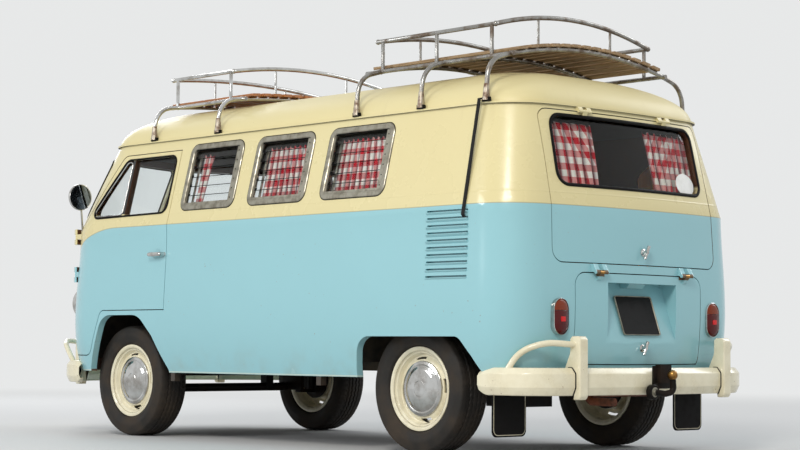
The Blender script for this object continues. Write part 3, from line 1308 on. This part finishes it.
class VAN_OT_curtains(bpy.types.Operator):
    """Checked curtains at the rear and side windows"""

    bl_idname = "van.curtains"
    bl_label = "Curtains"

    def execute(self, context):
        fold = context.scene.van_cloth.fold
        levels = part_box("tailgate_curtains")[0].z + 0.004, 1.614
        for start, stop, seed, end in REAR_CURTAINS:
            solids = ("tailgate_curtains",) if end == "left" else ()
            across, deep, up, *rest = curtain((start, stop), levels, behind_tail, fold, 0.052, seed, -0.06)
            piece, width = self.hang("rear_curtain_" + end, "tailgate", solids, (across, deep, up), *rest)
        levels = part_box("side_curtains")[0].z + 0.004, 1.590
        for number, (start, stop, taper) in enumerate(SIDE_CURTAINS, 1):
            solids = ("side_curtains",) if number == 1 else ()
            across, deep, up, *rest = curtain((start, stop), levels, behind_side, fold * 0.65, 0.040,
                                              number + 2.0, taper)
            piece, width = self.hang("side_curtain_%d" % number, "body", solids, (deep, across, up), *rest)
        return {"FINISHED"}

    def hang(self, name, body, solids, xyz, flat, width, wave):
        """Builds a curtain with its wave as second flat coordinates, and gives it and its flat width."""
        cloth = Shape().grid(np.stack(xyz, -1), uv=flat)
        piece = cloth.build(name, body, "curtain_cloth", 80.0, solids, outward=False)
        flatten(piece.data, "wave", np.repeat(wave.reshape(-1, 1), 2, axis=1))
        return thicken(piece, 0.0006), width


def cushion(low, high, crown, lean=0.0):
    """Crowned closed form in a box: a rounded block whose three coordinates are signed powers of sine and
    cosine, with its faces drawn out by a cosine crown and its corners pulled in. Its top is sheared along Y
    by lean times the height."""
    low, high = np.array(low), np.array(high)
    middle, half = (low + high) / 2, (high - low) / 2
    u, v = np.meshgrid(np.linspace(-pi / 2, pi / 2, 49), np.linspace(-pi, pi, 97), indexing="ij")

    def power(value, exponent):
        return np.sign(value) * abs(value) ** exponent

    a = power(np.cos(u), 0.28) * power(np.cos(v), 0.22)
    b = power(np.cos(u), 0.28) * power(np.sin(v), 0.22)
    c = power(np.sin(u), 0.34)
    pull = 1 - crown * 0.35 * (abs(a * b) ** 3)
    swell = 1 - crown + crown * np.cos(a * pi / 2.2) * np.cos(b * pi / 2.2)
    xyz = middle + np.stack([a * pull, b * pull, c * swell], -1) * half
    xyz[..., 1] += lean * (xyz[..., 2] - low[2])
    return xyz


class VAN_OT_seats(bpy.types.Operator):
    """Padded front seats"""

    bl_idname = "van.seats"
    bl_label = "Seats"

    def execute(self, context):
        for number, (x0, x1) in enumerate(((0.064, 0.656), (-0.656, -0.064)), 1):
            for part, low, high, lean in (("base", (x0, -1.206, 0.718), (x1, -0.834, 0.858), 0.0),
                                          ("back", (x0, -0.902, 0.866), (x1, -0.838, 1.326), 0.11)):
                stands_for = ("front_seats",) if part == "base" and number == 1 else ()
                pad = Shape().grid(cushion(low, high, 0.16, lean))
                piece = pad.build("seat_%s_%d" % (part, number), "body", "seat_vinyl", 60.0, stands_for)
        return {"FINISHED"}


# Way out and radius of a lid handle's boss; across and rise of its bar; y and radius of a door handle's lever
BOSS = np.array([(-0.012, 0.0186), (0.0045, 0.0186), (0.0088, 0.0106), (0.0262, 0.0086), (0.0330, 0.0086),
                 (0.0335, 0)])
TAIL_BAR = np.array([(-0.0162, 0.0305), (0.0, 0.0), (0.0154, -0.0328)])
DOOR_BAR = np.array([(-0.8835, 0.0060), (-0.872, 0.0092), (-0.850, 0.0097), (-0.790, 0.0088),
                     (-0.770, 0.0084), (-0.764, 0.0050)])


class VAN_OT_handles(bpy.types.Operator):
    """Bright handles of the doors and lids, and the brass hinge sleeves of the lower lid"""

    bl_idname = "van.handles"
    bl_label = "Handles"

    def execute(self, context):
        for name, y, z, body in HANDLES:
            self.lid_handle(y, z).build(name, body, "chrome")
        sleeve = np.array([(-0.0158, 0), (-0.0158, 0.0087), (0.0158, 0.0087), (0.0158, 0)])
        for side, end in SIDES:
            self.door_handle(side).build("door_handle_" + end, "cab_door_" + end, "chrome")
            centre = (side * LID_HINGE_X, 2.003, 0.884)
            lathe("hinge_sleeve_" + end, sleeve, centre, (1, 0, 0), (0, 0, 1), 24, "engine_lid", "chrome",
                  look="brass")
        return {"FINISHED"}

    def lid_handle(self, y, z):
        """Boss and a bar whose thickness swells as 1.06 - 0.06 t + 0.05 sin(6 t) ** 2 from end to end."""
        shape = Shape().grid(turned(BOSS, (0.0, y, z), (0, 1, 0), (1, 0, 0), 32))
        first, middle, last = np.insert(TAIL_BAR, 1, 0.026, axis=1) + (0, y, z)
        bar = np.concatenate([np.linspace(first, middle, 8), np.linspace(middle, last, 8)[1:]])
        t = np.linspace(-1, 1, len(bar))
        swell = 1.06 - 0.06 * t + 0.05 * np.sin(6 * t) ** 2
        return shape.grid(sweep(bar, ring(0.0074, 16), (0, 1, 0.01), scale=swell), True)

    def door_handle(self, side):
        """Lever along the door on two bosses."""
        shape = Shape()
        along, thick = DOOR_BAR.T
        lever = np.stack([np.full(len(along), side * 0.890), along, np.full(len(along), DOOR_HANDLE_Z)], -1)
        shape.grid(sweep(lever, ring(1.0, 20, 1.35), (0, 0, 1), scale=thick), True)
        for y, radius in ((-0.871, 0.0092), (-0.774, 0.0120)):
            boss = np.array([(-0.006, 0.0175), (0.002, 0.0175), (0.006, 0.0150), (0.012, radius),
                             (0.040, radius)])
            shape.grid(turned(boss, (side * 0.850, y, DOOR_HANDLE_Z), (side, 0, 0), (0, 0, 1), 24))
        return shape


# Board that stands on the deck behind the cupboard: x and z
BOARD = [(-0.477, 0.895), (-0.477, 1.346), (-0.466, 1.401), (-0.487, 1.430), (-0.560, 1.482), (-0.640, 1.482),
         (-0.640, 0.895)]


def slab(outline, steps):
    """Upright plate across the body: middle + (outline - middle) * share at each y of the steps."""
    middle = (outline.min(0) + outline.max(0)) / 2
    share, y = np.array(steps, float).T[:, :, None]
    flat = middle + (looped(outline) - middle) * share[..., None]
    return np.stack([flat[..., 0], y + 0 * flat[..., 0], flat[..., 1]], -1)


class VAN_OT_small_parts(bpy.types.Operator):
    """Blank plate and sticker, mud flaps, mirror glass, tow ball, the feet of the racks, and a board"""

    bl_idname = "van.small_parts"
    bl_label = "Small parts"

    def execute(self, context):
        trim = context.scene.van_trim
        self.plate(trim.plate_width / 2, trim.plate_height / 2)
        self.sticker()
        self.flaps()
        for side, end in SIDES:
            self.mirror(side, end)
        self.ball()
        self.feet()
        board = slab(rounded(BOARD, 0.003), ((0, 1.562), (1, 1.562), (1, 1.574), (0, 1.574)))
        Shape().grid(board).build("rear_board", "body", "varnished_wood", 30.0, look="panel_wood")
        return {"FINISHED"}

    def plate(self, half_width, half_height):
        """Blank plate in a raised edge, both as rings about the middle of the recess in the lid: each is the
        outline times a share, set out by a height."""
        loop = looped(rounded(oblong(-half_width, -half_height, half_width, half_height), 0.012))
        middle, across = np.array([0.0, 1.948, 0.682]), np.array([1.0, 0.0, 0.0])
        up, out = np.array([0.0, -0.33, 0.944]), np.array([0.0, 0.944, 0.33])

        def rings(rows):
            return Shape().grid(np.array([middle + loop[:, :1] * share * across + loop[:, 1:] * share * up
                                          + out * proud for share, proud in rows]))

        edge = rings(((0.0, 0.0), (1.0, 0.0), (1.0, 0.006), (0.985, 0.0075), (0.965, 0.006), (0.955, 0.0035)))
        edge.build("plate_edge", "engine_lid", "aluminium", 30.0)
        blank = rings(((0.957, 0.0036), (0.5, 0.0036), (0.0, 0.0036)))
        blank.build("plate_blank", "engine_lid", "black_plastic", outward=False)

    def sticker(self):
        """Blank oval behind the pane of the rear window."""
        turn = np.linspace(0, 2 * pi, 49)
        middle = np.array([(-0.428, 1.357)])
        spot = middle + np.stack([0.080 * np.cos(turn), 0.057 * np.sin(turn)], -1)
        at, out = end_skin(spot, 1)
        rows = np.array([end_skin(middle, 1)[0] + 0 * at, at]) - out * 0.0120
        Shape().grid(rows).build("window_sticker", "tailgate", "cream_paint", outward=False,
                                 look="white_plastic")

    def flaps(self):
        """Slabs with rounded lower corners, each with a bead at 0.93 of its outline and a bracket."""
        flaps, edges = Shape(), Shape()
        inner, outer, foot, top = 0.556, 0.788, 0.100, 0.352
        bracket_front, bracket_low = 1.642, 0.3442
        for side in (1, -1):
            corners = np.array([(inner, top), (inner, foot), (outer, foot), (outer, top)]) * (side, 1)
            loop = rounded(corners, [0.004, 0.030, 0.030, 0.004])
            flaps.grid(slab(loop, ((0, 1.722), (0.985, 1.722), (1, 1.7235), (1, 1.7285), (0.985, 1.730),
                                   (0, 1.730))))
            seam = slab(loop, ((0.928, 1.7302),))[0, :-1]
            edges.grid(sweep(seam, ring(0.0018, 8, 0.6), (0, 1, 0), closed=True))
            x0, x1 = sorted((side * inner, side * outer))
            for back, high in ((1.7225, 0.3518), (1.652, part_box("mud_flaps")[1].z)):
                flaps.grid(brick((x0, bracket_front, bracket_low), (x1, back, high)), True)
        flaps.build("mud_flaps.cut", "body", "black_rubber", 30.0, ("mud_flaps",))
        edges.build("mud_flap_edges", "body", "black_plastic", look="bone_plastic")

    def mirror(self, side, end):
        """Rim and pane turned about the head's own axis."""
        centre, door = (side * 0.905, -1.545, 1.390), "cab_door_" + end
        rim = np.array([(-0.0082, 0.0740), (-0.0082, 0.0772), (0.0045, 0.0772), (0.0062, 0.0760),
                        (0.0062, 0.0730), (0.0042, 0.0716), (-0.0082, 0.0740)])
        pane = np.array([(0.0046, 0.0735), (0.0046, 0.04), (0.0046, 0.0)])
        lathe("mirror_rim_" + end, rim, centre, (0, 1, 0), (1, 0, 0), 64, door, "chrome")
        lathe("mirror_glass_" + end, pane, centre, (0, 1, 0), (1, 0, 0), 64, door, "chrome", outward=False,
              look="mirror_glass")

    def ball(self):
        """Ball (r sin t, r cos t) turned about z from its neck to its top, and the plug turned about y."""
        turn = np.linspace(-1.15, pi / 2, 20)
        rows = 0.0252 * np.stack([np.sin(turn), np.cos(turn)], -1)
        lathe("tow_ball", rows, (0.0, 2.170, 0.396), (0, 0, 1), (1, 0, 0), 40, "body", "chrome", angle=60.0,
              look="brass")
        plug = np.array([(0.0225, 0.0240), (0.0264, 0.0240), (0.0264, 0.0146), (0.0345, 0.0124),
                         (0.0352, 0.0)])
        lathe("socket_plug", plug, (0.085, 2.107, 0.314), (0, 1, 0), (1, 0, 0), 32, "body", "aluminium")

    def feet(self):
        """Cones whose radius falls from 19.0 mm to 12.8 mm up the foot, on rubber pads."""
        cones, pads = Shape(), Shape()
        radius = np.linspace(0.0190, 0.0128, 9)
        for y in RACK_FEET:
            for side in (1, -1):
                path = np.linspace((side * 0.7497, y, 1.7040), (side * 0.7465, y, 1.7840), len(radius))
                cones.grid(sweep(path, ring(1.0, 16), (0, 1, 0), scale=radius), True)
                x0, x1 = sorted((side * 0.7380, side * 0.7565))
                pads.grid(brick((x0, y - 0.0240, 1.6982), (x1, y + 0.0240, 1.7190)), True)
        cones.build("rack_foot_cones", "body", "rusty_steel", look="foot_steel")
        soften(pads.build("rack_foot_pads", "body", "black_rubber", 30.0), 0.0012)


BACKDROP = (0.80, 0.81, 0.81)
# Lamps: place, aim, diameter, and share of the key light's power
LAMPS = {"key": ((7.6, 5.8, 6.5), (0.3, 0.6, 0.9), 2.6, 0.86),
         "side": ((9.0, -3.0, 4.0), (0.6, -0.4, 0.9), 3.0, 0.42),
         "far": ((-8.0, 3.0, 6.0), (0.0, 0.0, 1.0), 5.0, 0.45),
         "nose": ((-3.0, -9.0, 5.0), (0.0, -1.5, 0.9), 4.0, 0.45)}


class VAN_OT_stage(bpy.types.Operator):
    """Camera, lamps, floor and backdrop"""

    bl_idname = "van.stage"
    bl_label = "Stage"

    def execute(self, context):
        scene, stage = context.scene, context.scene.van_stage
        scene.camera = self.add(scene, "camera", self.camera(stage))
        scene.camera.matrix_world = self.look(stage)
        scene.view_settings.view_transform = "Standard"
        for name, (at, aim, size, share) in LAMPS.items():
            holder = self.add(scene, name + "_light", self.lamp(name, size, stage.key * share))
            holder.location = at
            holder.rotation_mode = "QUATERNION"
            holder.rotation_quaternion = (Vector(aim) - Vector(at)).to_track_quat("-Z", "Y")
        self.add(scene, "floor", self.floor(tuple(stage.floor)))
        scene.world = self.sky(stage.sky)
        return {"FINISHED"}

    def add(self, scene, name, data):
        """Object that holds the data."""
        made = bpy.data.objects.new(name, data)
        scene.collection.objects.link(made)
        return made

    def camera(self, stage):
        """Camera with the lens of the settings."""
        camera = bpy.data.cameras.new("camera")
        camera.sensor_width = 36.0
        camera.lens = stage.lens
        return camera

    def look(self, stage):
        """Matrix of the camera from its place, yaw, pitch and roll."""
        level = cos(stage.pitch)
        ahead = Vector((-sin(stage.yaw) * level, cos(stage.yaw) * level, sin(stage.pitch)))
        right = ahead.cross(Vector((0, 0, 1))).normalized()
        up = right.cross(ahead)
        c, s = cos(stage.roll), sin(stage.roll)
        right, up = c * right + s * up, c * up - s * right
        return Matrix.Translation(stage.place) @ Matrix((right, up, -ahead)).transposed().to_4x4()

    def lamp(self, name, size, power):
        """Round lamp, warm when it is the key light."""
        lamp = bpy.data.lights.new(name + "_light", "AREA")
        lamp.shape = "DISK"
        lamp.size = size
        lamp.energy = power
        lamp.color = (1.0, 0.965, 0.91) if name == "key" else (0.95, 0.97, 1.0)
        return lamp

    def floor(self, colour):
        """Round floor that fades into the backdrop with its distance, where the eye sees it."""
        angle = np.linspace(0, 2 * pi, 97)[:, None]
        reach = np.array([0.0, 1.0, 3.0, 8.0, 25.0, 90.0])
        points = np.stack([reach * np.cos(angle), reach * np.sin(angle), 0 * reach * angle], -1)
        index = np.arange(points[..., 0].size).reshape(points.shape[:2])
        quads = np.stack([index[:-1, :-1], index[:-1, 1:], index[1:, 1:], index[1:, :-1]], -1)
        mesh = bpy.data.meshes.new("floor")
        mesh.from_pydata(points.reshape(-1, 3), [], quads.reshape(-1, 4).tolist())
        merge(mesh, False)
        ground = Finish("floor", colour=colour, rough=0.85)
        ground.set(Base_Color=ground.mix(ground.noise(0.8, 4.0) * 0.2, colour, [c * 0.9 for c in colour]))
        away = ground.node("ShaderNodeVectorMath", {"operation": "LENGTH"}, {0: ground.where}, "Value")
        pale = ground.node("ShaderNodeEmission", None, {"Color": BACKDROP, "Strength": 1.0})
        lit = Socket(ground, ground.shader.outputs[0])
        share = away.ramp(3.5, 14.0) * ground.seen()
        blend = ground.node("ShaderNodeMixShader", None, {0: share, 1: lit, 2: pale})
        ground.put_out("Material Output", blend)
        mesh.materials.append(ground.material)
        return mesh

    def sky(self, strength):
        """Even light from all round, and the backdrop where the eye sees it."""
        world = bpy.data.worlds.new("sky")
        world.use_nodes = True
        air = Nodes(world.node_tree)
        air.tree.nodes.remove(air.tree.nodes["Background"])
        light, seen = (air.node("ShaderNodeBackground", None, {"Color": colour, "Strength": power})
                       for colour, power in (((0.93, 0.96, 1.0), strength), (BACKDROP, 1.0)))
        air.put_out("World Output", air.node("ShaderNodeMixShader", None, {0: air.seen(), 1: light, 2: seen}))
        return world


OPERATORS = [VAN_OT_stage, VAN_OT_panels, VAN_OT_underside, VAN_OT_glazing, VAN_OT_racks, VAN_OT_fittings,
             VAN_OT_tyres, VAN_OT_wheels, VAN_OT_frames, VAN_OT_seals, VAN_OT_bumpers, VAN_OT_lamps,
             VAN_OT_curtains, VAN_OT_seats, VAN_OT_handles, VAN_OT_small_parts]
GROUPS = {"van_paint": PaintSettings, "van_wheels": WheelSettings, "van_trim": TrimSettings,
          "van_cloth": ClothSettings, "van_stage": StageSettings}


class VAN_PT_panel(bpy.types.Panel):
    """Settings and steps of the van"""

    bl_idname = "VAN_PT_panel"
    bl_label = "Camper van"
    bl_space_type = "VIEW_3D"
    bl_region_type = "UI"
    bl_category = "Van"

    def draw(self, context):
        for name, group in GROUPS.items():
            column = self.layout.column(align=True)
            for setting in group.__annotations__:
                column.prop(getattr(context.scene, name), setting)
        for operator in OPERATORS:
            self.layout.operator(operator.bl_idname)


def register():
    for cls in [*GROUPS.values(), *OPERATORS, VAN_PT_panel]:
        bpy.utils.register_class(cls)
    for name, group in GROUPS.items():
        setattr(bpy.types.Scene, name, PointerProperty(type=group))


def unregister():
    for name in GROUPS:
        delattr(bpy.types.Scene, name)
    for cls in [VAN_PT_panel, *reversed(OPERATORS), *reversed(GROUPS.values())]:
        bpy.utils.unregister_class(cls)


def main():
    """Builds the stage and every piece."""
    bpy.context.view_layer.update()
    register()
    for operator in OPERATORS:
        getattr(bpy.ops.van, operator.bl_idname.split(".")[1])()
    bpy.context.view_layer.update()


if __name__ == "__main__":
    main()
